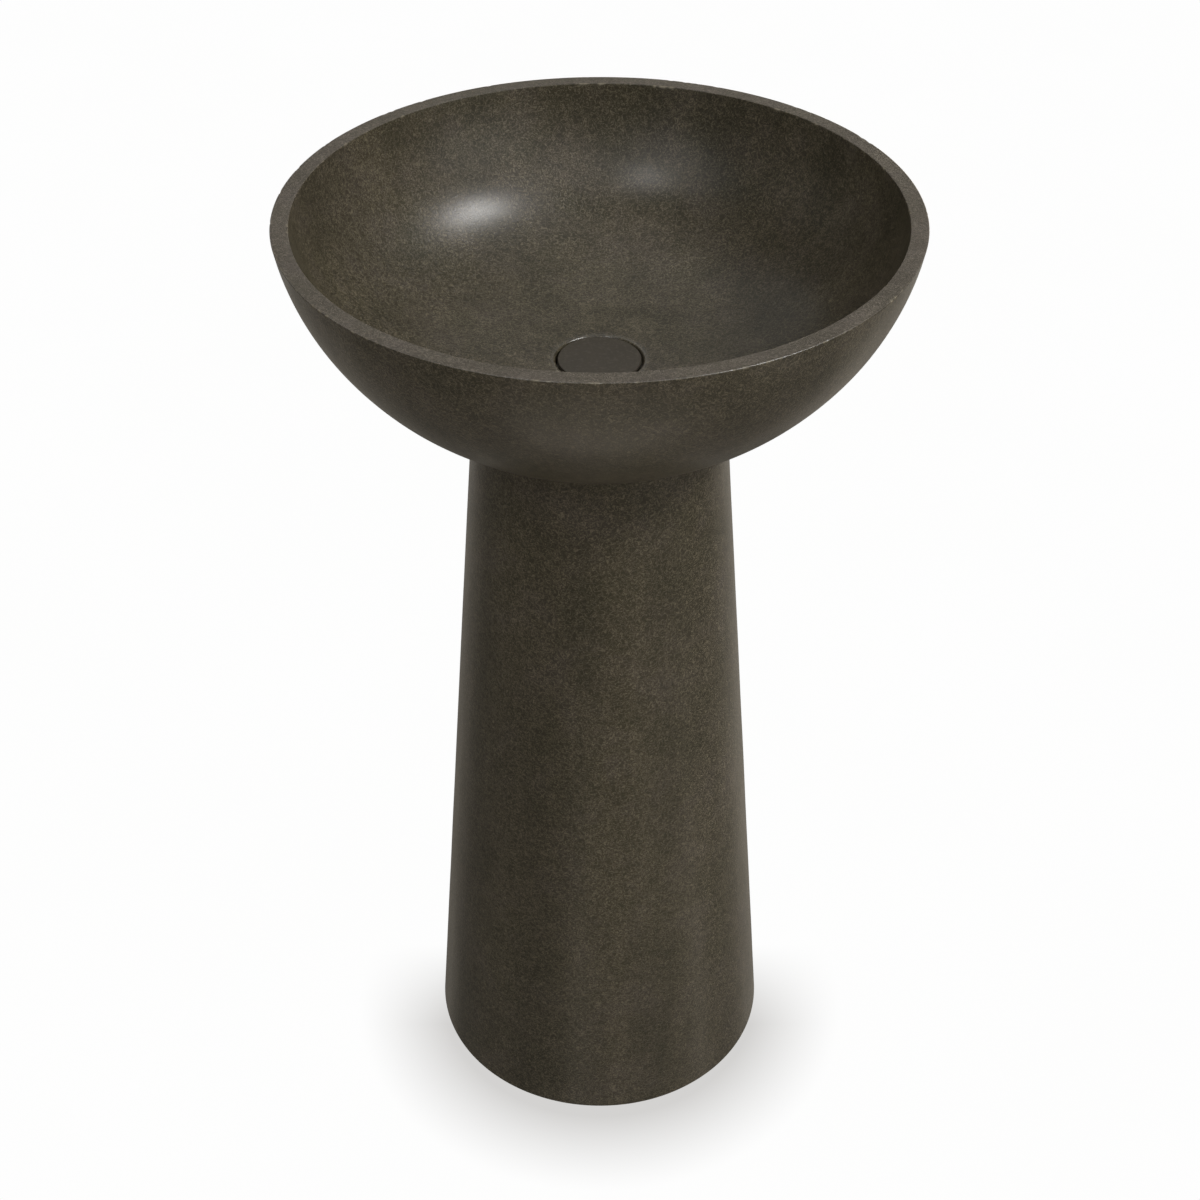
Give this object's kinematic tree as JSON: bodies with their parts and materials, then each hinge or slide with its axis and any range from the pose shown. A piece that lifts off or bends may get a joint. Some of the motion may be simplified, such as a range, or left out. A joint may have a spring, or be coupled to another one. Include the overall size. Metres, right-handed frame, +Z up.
{
  "type": "pedestal sink",
  "caption": "Round stone washbasin on a tapered hollow pedestal, with a push waste, a bottle trap with its wall pipe, and floor brackets.",
  "frame": {"origin": "centre of the column's base, on the floor", "axes": "+Z up; the front faces -Y; the waste pipe leaves towards the wall along +Y; +X is to the right seen from the front"},
  "size_m": [0.49, 0.49, 0.85],
  "materials": {
    "cast_stone": "satin, fine-grained cast stone",
    "coated_cap": "satin grey coating",
    "chrome": "polished chrome plating",
    "brass": "machined, unpolished",
    "steel": "zinc-plated steel",
    "rubber": "matt black rubber",
    "nylon": "moulded, off-white"
  },
  "bodies": {
    "basin": {"basin_bowl": "cast_stone", "pedestal_column": "cast_stone", "bowl_seat_ring": "rubber", "click_spring": "steel", "click_cartridge": "nylon", "waste_body": "chrome", "flange_gasket": "rubber", "cone_washer": "rubber", "slip_washer": "nylon", "back_nut": "brass", "inlet_union_nut": "chrome", "inlet_flat_washer": "rubber", "trap_inlet_pipe": "chrome", "floor_bracket_right": "steel", "bracket_bolt_right": "steel", "bracket_washer_right": "steel", "thread_insert_right": "brass", "floor_bracket_left": "steel", "bracket_bolt_left": "steel", "bracket_washer_left": "steel", "thread_insert_left": "brass"},
    "plunger": {"click_plunger": "brass"},
    "plug": {"drain_cap": "coated_cap", "plug_seal": "rubber"},
    "trap_collar": {"trap_top_nut": "chrome", "trap_top_seal": "rubber"},
    "trap": {"trap_body": "chrome", "cup_o_ring": "rubber", "outlet_nut": "chrome", "outlet_seal": "rubber"},
    "trap_cup": {"trap_cup": "chrome"},
    "outlet": {"outlet_pipe": "chrome"},
    "rosette": {"wall_rosette": "chrome"}
  },
  "joints": [
    {"name": "plug_lift", "type": "slide", "parent": "basin", "child": "plunger", "axis": [0, 0, 1], "range_m": [0, 0.009], "deforming": ["click_spring"]},
    {"name": "cap_turn", "type": "hinge", "parent": "plunger", "child": "plug", "pos_m": [0, 0, 0.72], "axis": [0, 0, 1], "continuous": true},
    {"name": "trap_height", "type": "slide", "parent": "basin", "child": "trap_collar", "axis": [0, 0, 1], "range_m": [-0.02, 0.01]},
    {"name": "trap_swivel", "type": "hinge", "parent": "trap_collar", "child": "trap", "pos_m": [0, 0, 0.577], "axis": [0, 0, 1], "range_deg": [-15, 15]},
    {"name": "cup_unscrew", "type": "slide", "parent": "trap", "child": "trap_cup", "axis": [0, 0, -1], "range_m": [0, 0.08]},
    {"name": "outlet_telescope", "type": "slide", "parent": "trap", "child": "outlet", "axis": [0, 1, 0], "range_m": [-0.008, 0.04]},
    {"name": "rosette_slide", "type": "slide", "parent": "outlet", "child": "rosette", "axis": [0, 1, 0], "range_m": [-0.11, 0]}
  ]
}
